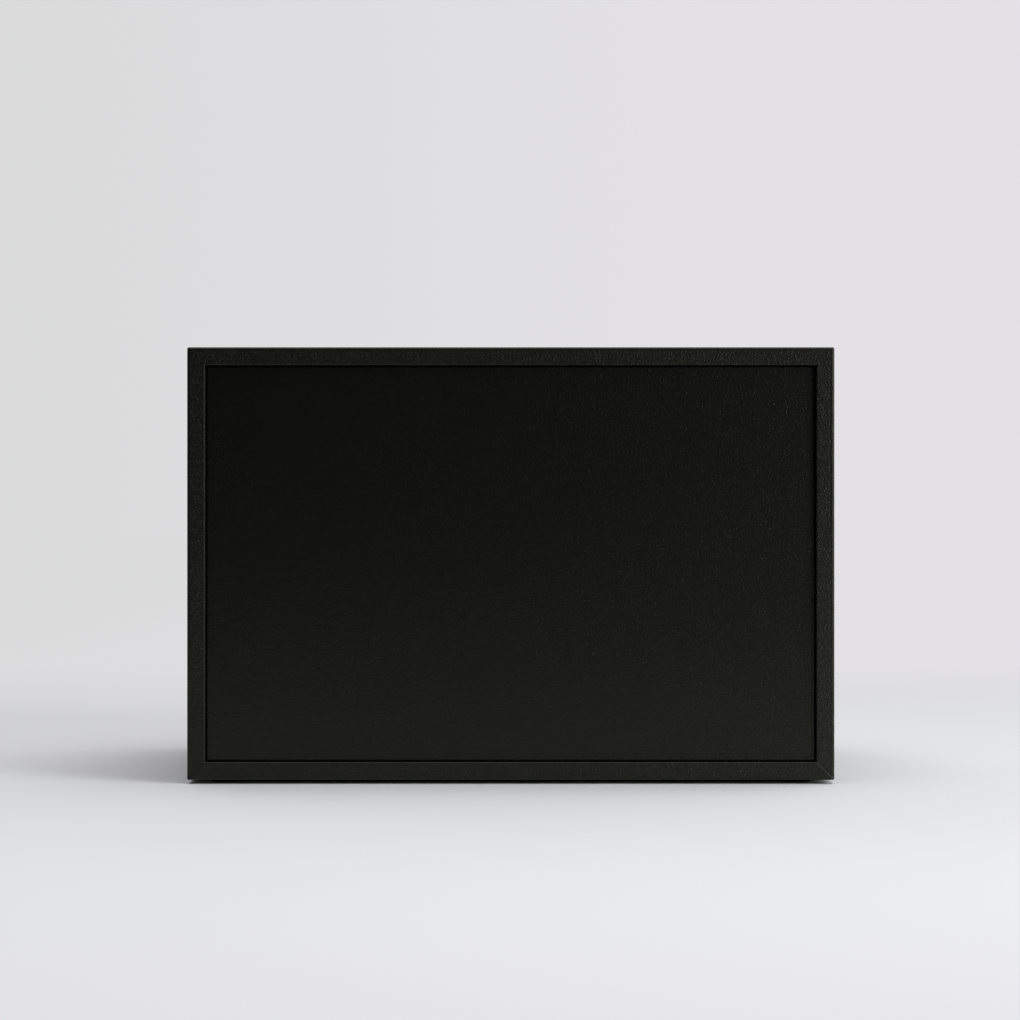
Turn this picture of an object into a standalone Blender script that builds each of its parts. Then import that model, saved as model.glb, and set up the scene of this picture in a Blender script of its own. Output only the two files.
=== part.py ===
"""Desktop drawer organizer: a leatherette-covered fibreboard case that holds three sliding trays.

Metres, +Z up. The origin lies on the desk, under the middle of the whole part. The drawers face -Y and
slide out that way, and the recessed back panel faces +Y.
"""

import math

import bmesh
import bpy
from mathutils import Vector

# The case, measured over its covering
CASE_WIDTH = 0.340
CASE_DEPTH = 0.250
CASE_HEIGHT = 0.2273
WALL_THICKNESS = 0.0095

# Covering, and the joints between the pieces
COVER_THICKNESS = 0.0008
GLUE_LINE = 0.0002
FIT_GAP = 0.0003
BOARD_EASE = 0.0007

# Shelves between the drawers, and the lining on the floor of the lowest bay
SHELF_THICKNESS = 0.005
SHELF_GROOVE_DEPTH = 0.0025
SHELF_SETBACK = 0.001
LINING_THICKNESS = 0.0008

# Back panel
BACK_RECESS = 0.003
BACK_BOARD_THICKNESS = 0.004

# Covered panels: the back panel and the drawer fronts
PANEL_EASE = 0.0003
PANEL_TURN_IN = 0.010

# Drawer fronts
DRAWER_NAMES = ("lower", "middle", "upper")
FRONT_RECESS = 0.003
FRONT_BOARD_THICKNESS = 0.0045
FRONT_REVEAL = 0.0012
FRONT_SPACING = 0.0016

# Drawer trays
TRAY_WALL = 0.005
TRAY_BOTTOM = 0.003
TRAY_SIDE_CLEARANCE = 0.002
TRAY_HEADROOM = 0.0015
LINER_THICKNESS = 0.001
LINER_MARGIN = 0.0005
SHEET_EASE_SHARE = 0.25

# Turned knob
KNOB_LENGTH = 0.016
KNOB_HEAD_RADIUS = 0.0075
KNOB_HEAD_LENGTH = 0.0075
KNOB_NECK_RADIUS = 0.004
KNOB_BASE_RADIUS = 0.0055
KNOB_BASE_THICKNESS = 0.0015
KNOB_EDGE_ROUND = 0.0012
KNOB_BORE_SPARE = 0.0015

# Knob screw
SCREW_RADIUS = 0.002
SCREW_HEAD_RADIUS = 0.004
SCREW_HEAD_HEIGHT = 0.0022
SCREW_ENGAGEMENT = 0.0075
SCREW_EDGE_ROUND = 0.0012

# Feet
RIDE_HEIGHT = 0.0021
FOOT_RADIUS = 0.007
FOOT_INSET = 0.018
FOOT_EDGE_ROUND = 0.0003

# How finely round shapes are stepped, how far a drill runs past what it cuts, and how near points merge
FOLD_STEPS = 3
EASE_STEPS = 2
TURNED_STEPS = 24
ARC_STEPS = 3
DRILL_OVERRUN = 0.002
MERGE_DISTANCE = 0.000001
UNIT = 1.0
HALF = 0.5
SHARP_FOLD = math.radians(30)

# Worked out from the sizes above
SKIN = COVER_THICKNESS + GLUE_LINE
CASE_BOARD_THICKNESS = WALL_THICKNESS - 2 * SKIN
OPENING_WIDTH = CASE_WIDTH - 2 * WALL_THICKNESS
OPENING_HEIGHT = CASE_HEIGHT - 2 * WALL_THICKNESS
BACK_PANEL_THICKNESS = BACK_BOARD_THICKNESS + 2 * SKIN
FRONT_PANEL_THICKNESS = FRONT_BOARD_THICKNESS + 2 * SKIN
KNOB_PROJECTION = KNOB_LENGTH + GLUE_LINE - FRONT_RECESS

CASE_REAR_Y = (CASE_DEPTH + KNOB_PROJECTION) / 2
CASE_FRONT_Y = CASE_REAR_Y - CASE_DEPTH
CASE_BOTTOM_Z = RIDE_HEIGHT
CASE_TOP_Z = CASE_BOTTOM_Z + CASE_HEIGHT
OPENING_BOTTOM_Z = CASE_BOTTOM_Z + WALL_THICKNESS
BOTTOM_BOARD_TOP_Z = OPENING_BOTTOM_Z - SKIN
SIDE_BOARD_INNER_X = CASE_WIDTH / 2 - SKIN - CASE_BOARD_THICKNESS

FRONT_TURN_IN = FRONT_RECESS + FRONT_PANEL_THICKNESS + SHELF_SETBACK - FIT_GAP
REAR_TURN_IN = BACK_RECESS + BACK_PANEL_THICKNESS
SHELF_FRONT_Y = CASE_FRONT_Y + FRONT_TURN_IN + FIT_GAP
SHELF_REAR_Y = CASE_REAR_Y - REAR_TURN_IN - FIT_GAP

FRONT_HEIGHT = (
    OPENING_HEIGHT - 2 * FRONT_REVEAL - (len(DRAWER_NAMES) - 1) * FRONT_SPACING
) / len(DRAWER_NAMES)
DRAWER_PITCH = FRONT_HEIGHT + FRONT_SPACING
LOWEST_FLOOR_Z = BOTTOM_BOARD_TOP_Z + GLUE_LINE + max(COVER_THICKNESS, LINING_THICKNESS)
LOWEST_TRAY_Z = LOWEST_FLOOR_Z + FIT_GAP
FRONT_MIDDLE_Z = OPENING_BOTTOM_Z + FRONT_REVEAL + FRONT_HEIGHT / 2 - LOWEST_TRAY_Z

DRAWER_Y = CASE_FRONT_Y + FRONT_RECESS
TRAY_HEIGHT = DRAWER_PITCH - SHELF_THICKNESS - FIT_GAP - TRAY_HEADROOM
TRAY_WIDTH = OPENING_WIDTH - 2 * TRAY_SIDE_CLEARANCE
TRAY_FRONT_Y = FRONT_PANEL_THICKNESS + GLUE_LINE
TRAY_REAR_Y = SHELF_REAR_Y - DRAWER_Y
TRAY_WALL_INNER_Y = TRAY_FRONT_Y + TRAY_WALL
SCREW_HEAD_Y = TRAY_WALL_INNER_Y + GLUE_LINE
SCREW_SHANK = SCREW_HEAD_Y + GLUE_LINE + SCREW_ENGAGEMENT
SCREW_HOLE_RADIUS = SCREW_RADIUS + FIT_GAP


def new_collection(name):
    """An empty collection of that name, linked to the scene."""
    collection = bpy.data.collections.new(name)
    bpy.context.scene.collection.children.link(collection)
    return collection


def linear(level):
    """One sRGB channel of 0 to 255 as a linear value."""
    share = level / 255
    return share / 12.92 if share <= 0.04045 else ((share + 0.055) / 1.055) ** 2.4


def new_material(name, srgb, roughness, metallic=0.0):
    """A Principled material of one colour, given as sRGB levels."""
    material = bpy.data.materials.new(name)
    material.use_nodes = True
    shader = material.node_tree.nodes["Principled BSDF"]
    shader.inputs["Base Color"].default_value = (*(linear(level) for level in srgb), 1.0)
    shader.inputs["Roughness"].default_value = roughness
    shader.inputs["Metallic"].default_value = metallic
    return material


def add_object(collection, name, shape, place, parent=None):
    """Turns a bmesh into a named object of a collection, and frees the bmesh."""
    mesh = bpy.data.meshes.new(name)
    shape.to_mesh(mesh)
    shape.free()
    thing = bpy.data.objects.new(name, mesh)
    thing.location = place
    thing.parent = parent
    collection.objects.link(thing)
    return thing


def add_part(name, shape, place, material, parent=None):
    """One piece of the model, in its material."""
    part = add_object(PARTS, name, shape, place, parent)
    part.data.materials.append(material)
    return part


def add_cutter(name, shape, place, parent=None):
    """A helper shape that Booleans take away from the pieces, and that is no piece itself."""
    cutter = add_object(CUTTERS, name, shape, place, parent)
    cutter.hide_render = True
    cutter.display_type = "WIRE"
    return cutter


def add_cut(part, cutter):
    """Takes a cutter's shape out of a part."""
    cut = part.modifiers.new("Cut " + cutter.name, "BOOLEAN")
    cut.operation = "DIFFERENCE"
    cut.object = cutter


def add_ease(part, width):
    """Eases a part's sharp edges."""
    bevel = part.modifiers.new("Eased edges", "BEVEL")
    bevel.width = width
    bevel.segments = EASE_STEPS
    bevel.limit_method = "ANGLE"


def shade_round(part):
    """Shades a round piece smooth, up to its sharp edges."""
    part.data.shade_smooth()
    part.data.set_sharp_from_angle(angle=SHARP_FOLD)


def block_shape(size):
    """A block of that size about the origin."""
    shape = bmesh.new()
    bmesh.ops.create_cube(shape, size=UNIT)
    bmesh.ops.scale(shape, vec=size, verts=shape.verts)
    return shape


def cylinder_shape(radius, length):
    """A capped cylinder along Z about the origin."""
    shape = bmesh.new()
    bmesh.ops.create_cone(
        shape, cap_ends=True, segments=TURNED_STEPS, radius1=radius, radius2=radius, depth=length
    )
    return shape


def add_board(name, low, high, material, parent=None, ease=BOARD_EASE):
    """A flat board between two opposite corners, with eased edges."""
    low, high = Vector(low), Vector(high)
    board = add_part(name, block_shape(high - low), (low + high) / 2, material, parent)
    add_ease(board, ease)
    return board


def open_faces(shape, direction):
    """Takes away the faces that look along a direction, and returns the rim that they leave."""
    shape.normal_update()
    facing = [face for face in shape.faces if face.normal.dot(direction) > HALF]
    rim = {edge for face in facing for edge in face.edges}
    bmesh.ops.delete(shape, geom=facing, context="FACES_ONLY")
    return list(rim)


def fold_rim(shape, rim, inward, along):
    """Folds a rim of a skin on: its corners move inward in X and Z, and along Y. Returns the new rim."""
    made = bmesh.ops.extrude_edge_only(shape, edges=rim)["geom"]
    for corner in (item for item in made if isinstance(item, bmesh.types.BMVert)):
        corner.co.x -= math.copysign(inward, corner.co.x)
        corner.co.z -= math.copysign(inward, corner.co.z)
        corner.co.y += along
    return [edge for edge in made if isinstance(edge, bmesh.types.BMEdge) and edge.is_boundary]


def round_folds(shape, radius):
    """Rounds every outward fold of an open skin."""
    bmesh.ops.recalc_face_normals(shape, faces=shape.faces)
    folds = [
        edge for edge in shape.edges if edge.is_manifold and edge.calc_face_angle_signed() > SHARP_FOLD
    ]
    bmesh.ops.bevel(
        shape, geom=folds, offset=radius, segments=FOLD_STEPS, profile=HALF, affect="EDGES", material=-1
    )


def add_skin(name, shape, place, ease, parent=None):
    """A sheet of covering over boards with that ease: its folds are rounder by its thickness."""
    round_folds(shape, ease + COVER_THICKNESS)
    skin = add_part(name, shape, place, LEATHERETTE, parent)
    wall = skin.modifiers.new("Covering thickness", "SOLIDIFY")
    wall.thickness = COVER_THICKNESS
    wall.offset = -1
    wall.use_even_offset = True
    return skin


def add_covered_panel(prefix, size, place, parent=None):
    """A board wrapped in its covering, with its show face towards -Y and the turn-in behind it."""
    board_shape = block_shape(size - 2 * SKIN * Vector((1, 1, 1)))
    board = add_part(prefix + "_board", board_shape, place, FIBREBOARD, parent)
    add_ease(board, PANEL_EASE)
    wrapping = block_shape(size)
    fold_rim(wrapping, open_faces(wrapping, Vector((0, 1, 0))), PANEL_TURN_IN, 0)
    cover = add_skin(prefix + "_cover", wrapping, place, PANEL_EASE, parent)
    return board, cover


def arc(centre, radius, start, end):
    """Points of an arc of a turned profile, as (radius, height), from one angle to another."""
    angles = [start + (end - start) * step / ARC_STEPS for step in range(ARC_STEPS + 1)]
    return [
        (centre[0] + radius * math.cos(angle), centre[1] + radius * math.sin(angle))
        for angle in angles
    ]


def add_turned(name, profile, place, turn, material, parent):
    """Turns a profile about Z, then turns the piece about X so that its heights run as asked."""
    shape = bmesh.new()
    points = [shape.verts.new((radius, 0, height)) for radius, height in profile]
    for first, second in zip(points, points[1:]):
        shape.edges.new((first, second))
    turned = add_part(name, shape, place, material, parent)
    turned.rotation_euler.x = turn
    turning = turned.modifiers.new("Turned", "SCREW")
    turning.steps = TURNED_STEPS
    turning.render_steps = TURNED_STEPS
    turning.use_merge_vertices = True
    turning.merge_threshold = MERGE_DISTANCE
    return turned


def build_case_cover():
    """The sheet round the four case boards, folded over their front and rear edges and turned inside."""
    shape = block_shape((CASE_WIDTH, CASE_DEPTH, CASE_HEIGHT))
    for outward, turn_in in ((-1, FRONT_TURN_IN), (1, REAR_TURN_IN)):
        rim = open_faces(shape, Vector((0, outward, 0)))
        rim = fold_rim(shape, rim, WALL_THICKNESS, 0)
        fold_rim(shape, rim, 0, -outward * turn_in)
    middle = (0, (CASE_FRONT_Y + CASE_REAR_Y) / 2, (CASE_BOTTOM_Z + CASE_TOP_Z) / 2)
    add_skin("case_cover", shape, middle, BOARD_EASE)


def build_case_boards():
    """The top and bottom boards, and the side boards between them. Returns the side boards."""
    half_width = CASE_WIDTH / 2 - SKIN
    front_y = CASE_FRONT_Y + SKIN
    rear_y = CASE_REAR_Y - SKIN
    top_z = CASE_TOP_Z - SKIN
    top_board_low_z = top_z - CASE_BOARD_THICKNESS
    low = (-half_width, front_y, CASE_BOTTOM_Z + SKIN)
    add_board("case_bottom_board", low, (half_width, rear_y, BOTTOM_BOARD_TOP_Z), FIBREBOARD)
    low = (-half_width, front_y, top_board_low_z)
    add_board("case_top_board", low, (half_width, rear_y, top_z), FIBREBOARD)
    sides = []
    for hand, low_x, high_x in (
        ("left", -half_width, -SIDE_BOARD_INNER_X),
        ("right", SIDE_BOARD_INNER_X, half_width),
    ):
        low = (low_x, front_y, BOTTOM_BOARD_TOP_Z + GLUE_LINE)
        high = (high_x, rear_y, top_board_low_z - GLUE_LINE)
        sides.append(add_board(f"case_{hand}_board", low, high, FIBREBOARD))
    return sides


def build_shelves(side_boards):
    """A shelf under every drawer but the lowest, its ends let into grooves in the side boards."""
    half_length = SIDE_BOARD_INNER_X + SHELF_GROOVE_DEPTH - GLUE_LINE
    clearance = GLUE_LINE * Vector((1, 1, 1))
    for number, drawer_name in enumerate(DRAWER_NAMES[1:], start=1):
        top_z = LOWEST_FLOOR_Z + number * DRAWER_PITCH
        low = Vector((-half_length, SHELF_FRONT_Y, top_z - SHELF_THICKNESS))
        high = Vector((half_length, SHELF_REAR_Y, top_z))
        add_board(f"shelf_under_{drawer_name}_drawer", low, high, LINED_BOARD)
        groove_shape = block_shape(high - low + 2 * clearance)
        groove = add_cutter(f"Groove under {drawer_name} drawer", groove_shape, (low + high) / 2)
        for board in side_boards:
            add_cut(board, groove)


def build_bay_lining():
    """The lining sheet on the bottom board, level with the covering that is turned in at the front."""
    half_width = SIDE_BOARD_INNER_X - FIT_GAP
    bottom_z = BOTTOM_BOARD_TOP_Z + GLUE_LINE
    low = (-half_width, SHELF_FRONT_Y, bottom_z)
    high = (half_width, SHELF_REAR_Y, bottom_z + LINING_THICKNESS)
    add_board("bay_lining", low, high, FLOCK, ease=LINING_THICKNESS * SHEET_EASE_SHARE)


def build_back_panel():
    """The covered panel that closes the case, set in from its rear edges."""
    size = Vector((OPENING_WIDTH - 2 * FIT_GAP, BACK_PANEL_THICKNESS, OPENING_HEIGHT - 2 * FIT_GAP))
    middle_y = CASE_REAR_Y - BACK_RECESS - BACK_PANEL_THICKNESS / 2
    middle_z = (CASE_BOTTOM_Z + CASE_TOP_Z) / 2
    for part in add_covered_panel("back_panel", size, (0, middle_y, middle_z)):
        part.rotation_euler.z = math.pi


def build_feet():
    """Four round pads under the corners of the case."""
    height = RIDE_HEIGHT - GLUE_LINE
    side_x = CASE_WIDTH / 2 - FOOT_INSET
    for row, y in (("front", CASE_FRONT_Y + FOOT_INSET), ("rear", CASE_REAR_Y - FOOT_INSET)):
        for hand, x in (("left", -side_x), ("right", side_x)):
            shape = cylinder_shape(FOOT_RADIUS, height)
            foot = add_part(f"foot_{row}_{hand}", shape, (x, y, height / 2), FOAM_RUBBER)
            add_ease(foot, FOOT_EDGE_ROUND)
            shade_round(foot)


def build_tray(prefix, drawer):
    """The tray's bottom, its walls and its liner, in the drawer's own frame. Returns the front wall."""
    half_width = TRAY_WIDTH / 2
    inner_x = half_width - TRAY_WALL
    end_x = inner_x - GLUE_LINE
    wall_z = TRAY_BOTTOM + GLUE_LINE
    rear_wall_y = TRAY_REAR_Y - TRAY_WALL
    boards = {
        "bottom": ((-half_width, TRAY_FRONT_Y, 0), (half_width, TRAY_REAR_Y, TRAY_BOTTOM)),
        "left_side": ((-half_width, TRAY_FRONT_Y, wall_z), (-inner_x, TRAY_REAR_Y, TRAY_HEIGHT)),
        "right_side": ((inner_x, TRAY_FRONT_Y, wall_z), (half_width, TRAY_REAR_Y, TRAY_HEIGHT)),
        "rear_wall": ((-end_x, rear_wall_y, wall_z), (end_x, TRAY_REAR_Y, TRAY_HEIGHT)),
        "front_wall": ((-end_x, TRAY_FRONT_Y, wall_z), (end_x, TRAY_WALL_INNER_Y, TRAY_HEIGHT)),
    }
    made = {
        part: add_board(f"{prefix}_{part}", low, high, LINED_BOARD, drawer)
        for part, (low, high) in boards.items()
    }
    liner_x = inner_x - LINER_MARGIN
    low = (-liner_x, TRAY_WALL_INNER_Y + LINER_MARGIN, wall_z)
    high = (liner_x, rear_wall_y - LINER_MARGIN, wall_z + LINER_THICKNESS)
    add_board(prefix + "_liner", low, high, FLOCK, drawer, LINER_THICKNESS * SHEET_EASE_SHARE)
    return made["front_wall"]


def knob_profile():
    """Half section of the knob, as (radius, height): round the head, down the neck, up its blind bore."""
    top = KNOB_LENGTH
    under_head = top - KNOB_HEAD_LENGTH
    rim = KNOB_HEAD_RADIUS - KNOB_EDGE_ROUND
    bore_depth = SCREW_ENGAGEMENT + KNOB_BORE_SPARE
    return [
        (0, top),
        *arc((rim, top - KNOB_EDGE_ROUND), KNOB_EDGE_ROUND, math.pi / 2, 0),
        *arc((rim, under_head + KNOB_EDGE_ROUND), KNOB_EDGE_ROUND, 0, -math.pi / 2),
        (KNOB_NECK_RADIUS, under_head),
        (KNOB_NECK_RADIUS, KNOB_BASE_THICKNESS),
        (KNOB_BASE_RADIUS, KNOB_BASE_THICKNESS),
        (KNOB_BASE_RADIUS, 0),
        (SCREW_HOLE_RADIUS, 0),
        (SCREW_HOLE_RADIUS, bore_depth),
        (0, bore_depth),
    ]


def screw_profile():
    """Half section of the knob screw, as (radius, height): over the domed head, and down the shank."""
    rim = SCREW_HEAD_RADIUS - SCREW_EDGE_ROUND
    return [
        (0, SCREW_HEAD_HEIGHT),
        *arc((rim, SCREW_HEAD_HEIGHT - SCREW_EDGE_ROUND), SCREW_EDGE_ROUND, math.pi / 2, 0),
        (SCREW_HEAD_RADIUS, 0),
        (SCREW_RADIUS, 0),
        (SCREW_RADIUS, -SCREW_SHANK),
        (0, -SCREW_SHANK),
    ]


def build_knob(prefix, drawer, drilled):
    """The knob on the drawer's front, its screw from inside the tray, and the hole for the screw."""
    forward, backward = math.pi / 2, -math.pi / 2
    knob_place = (0, -GLUE_LINE, FRONT_MIDDLE_Z)
    add_turned(prefix + "_knob", knob_profile(), knob_place, forward, NICKEL, drawer)
    screw_place = (0, SCREW_HEAD_Y, FRONT_MIDDLE_Z)
    add_turned(prefix + "_knob_screw", screw_profile(), screw_place, backward, STEEL, drawer)
    drill_shape = cylinder_shape(SCREW_HOLE_RADIUS, TRAY_WALL_INNER_Y + 2 * DRILL_OVERRUN)
    drill = add_cutter(prefix + " drill", drill_shape, (0, TRAY_WALL_INNER_Y / 2, FRONT_MIDDLE_Z), drawer)
    drill.rotation_euler.x = forward
    for part in drilled:
        add_cut(part, drill)


def build_drawer(number, name):
    """One drawer on its own empty, whose Y is 0 at the front's show face and Z is 0 under the tray."""
    drawer = bpy.data.objects.new(name + " drawer", None)
    drawer.location = (0, DRAWER_Y, LOWEST_TRAY_Z + number * DRAWER_PITCH)
    PARTS.objects.link(drawer)
    prefix = name + "_drawer"
    size = Vector((OPENING_WIDTH - 2 * FRONT_REVEAL, FRONT_PANEL_THICKNESS, FRONT_HEIGHT))
    place = (0, FRONT_PANEL_THICKNESS / 2, FRONT_MIDDLE_Z)
    front_board, front_cover = add_covered_panel(prefix + "_front", size, place, drawer)
    front_wall = build_tray(prefix, drawer)
    build_knob(prefix, drawer, (front_board, front_cover, front_wall))


for leftover in list(bpy.data.objects):
    bpy.data.objects.remove(leftover, do_unlink=True)

PARTS = new_collection("Desktop drawer organizer")
CUTTERS = new_collection("Cutters")
LEATHERETTE = new_material("Black leatherette", (29, 30, 26), 0.5)
FIBREBOARD = new_material("Fibreboard under black paper", (30, 28, 26), 0.85)
LINED_BOARD = new_material("Flock-papered board", (26, 26, 27), 0.95)
FLOCK = new_material("Black flock sheet", (22, 22, 24), 1.0)
NICKEL = new_material("Satin nickel", (176, 172, 164), 0.3, 1.0)
STEEL = new_material("Zinc-plated steel", (160, 162, 165), 0.35, 1.0)
FOAM_RUBBER = new_material("Black foam rubber", (20, 20, 20), 0.9)

build_case_cover()
build_shelves(build_case_boards())
build_bay_lining()
build_back_panel()
build_feet()
for drawer_number, drawer_name in enumerate(DRAWER_NAMES):
    build_drawer(drawer_number, drawer_name)
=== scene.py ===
"""A desktop drawer organizer: a leatherette-covered case with three drawers.

The camera looks at its plain rear side. Sizes are in metres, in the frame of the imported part:
X to the side, -Y to the drawers, Z up.
"""

import logging
import math
from collections.abc import Iterable, Sequence
from dataclasses import dataclass, field
from enum import Enum

import bmesh
import bpy
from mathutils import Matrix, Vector

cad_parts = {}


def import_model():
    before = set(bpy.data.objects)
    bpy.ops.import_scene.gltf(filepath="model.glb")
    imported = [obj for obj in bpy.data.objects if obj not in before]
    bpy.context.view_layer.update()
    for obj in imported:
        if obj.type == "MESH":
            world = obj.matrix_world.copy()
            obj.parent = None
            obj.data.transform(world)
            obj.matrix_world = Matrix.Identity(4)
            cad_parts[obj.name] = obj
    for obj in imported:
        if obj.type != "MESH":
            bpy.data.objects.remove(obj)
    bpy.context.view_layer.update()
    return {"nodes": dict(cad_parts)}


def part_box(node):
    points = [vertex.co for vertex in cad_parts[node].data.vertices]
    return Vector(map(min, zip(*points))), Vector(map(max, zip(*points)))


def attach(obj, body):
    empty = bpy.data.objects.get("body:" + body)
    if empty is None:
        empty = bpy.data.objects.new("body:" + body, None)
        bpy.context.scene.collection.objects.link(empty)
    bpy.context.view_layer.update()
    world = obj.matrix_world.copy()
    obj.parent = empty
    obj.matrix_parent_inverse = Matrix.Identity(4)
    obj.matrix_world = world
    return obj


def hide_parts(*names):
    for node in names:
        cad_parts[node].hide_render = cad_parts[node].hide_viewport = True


LOG = logging.getLogger("drawer_organizer")

MM = 0.001
MERGE_DISTANCE = 0.000002
SMOOTH_ANGLE = math.radians(32)
FRAME_PIXELS = 1020

# Settings that many nodes share.
SMOOTH_RAMP = {"interpolation_type": "SMOOTHSTEP"}
COLOUR_MIX = {"data_type": "RGBA"}
PRODUCT = {"operation": "MULTIPLY"}

# The stations round a corner that isn't lapped.
PLAIN_CORNER = ((0.0, 0.0),) * 7


class Body(str, Enum):
    """The bodies of the part, each of which moves as one."""

    CASE = "case"
    LOWER = "lower_drawer"
    MIDDLE = "middle_drawer"
    UPPER = "upper_drawer"


class Slot(str, Enum):
    """The record's material slots."""

    LEATHERETTE = "leatherette"
    FIBREBOARD = "fibreboard"
    LINED_BOARD = "lined_board"
    FLOCK = "flock"
    NICKEL = "knob_nickel"
    STEEL = "screw_steel"
    FOAM = "foot_foam"


def linear_colour(code: str) -> tuple[float, float, float, float]:
    """Turns a colour written as an sRGB hex value into linear light.

    Args:
        code: Six hex digits, with or without a leading sign.

    Returns:
        Red, green, blue and an alpha of one.
    """
    digits = code.lstrip("#")
    levels = [int(digits[place:place + 2], 16) / 255 for place in (0, 2, 4)]
    red, green, blue = (
        level / 12.92 if level <= 0.04045 else ((level + 0.055) / 1.055) ** 2.4 for level in levels
    )
    return red, green, blue, 1.0


def add_node(
    tree: bpy.types.NodeTree,
    kind: str,
    settings: dict[str, object] | None = None,
    inputs: dict[str | int, object] | None = None,
) -> bpy.types.Node:
    """Adds a node with its settings, its values and its links.

    Args:
        tree: The node tree that gets it.
        kind: The node's type, without its prefix.
        settings: Its properties, by name.
        inputs: For each input, by name or number, a value, the output socket that feeds it, or a
            node whose first output does.

    Returns:
        The new node.
    """
    node = tree.nodes.new("ShaderNode" + kind)
    for name, value in (settings or {}).items():
        setattr(node, name, value)
    for key, value in (inputs or {}).items():
        if isinstance(value, bpy.types.Node):
            value = value.outputs[0]
        if isinstance(value, bpy.types.NodeSocket):
            tree.links.new(value, node.inputs[key])
        else:
            node.inputs[key].default_value = value
    return node


def empty_material(name: str) -> tuple[bpy.types.Material, bpy.types.NodeTree]:
    """Makes a material without nodes and returns it with its tree."""
    material = bpy.data.materials.new(name)
    material.use_nodes = True
    material.node_tree.nodes.clear()
    return material, material.node_tree


def put_out(tree: bpy.types.NodeTree, surface: bpy.types.NodeSocket) -> None:
    """Sends a shader to the tree's material output."""
    add_node(tree, "OutputMaterial", inputs={"Surface": surface})


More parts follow.
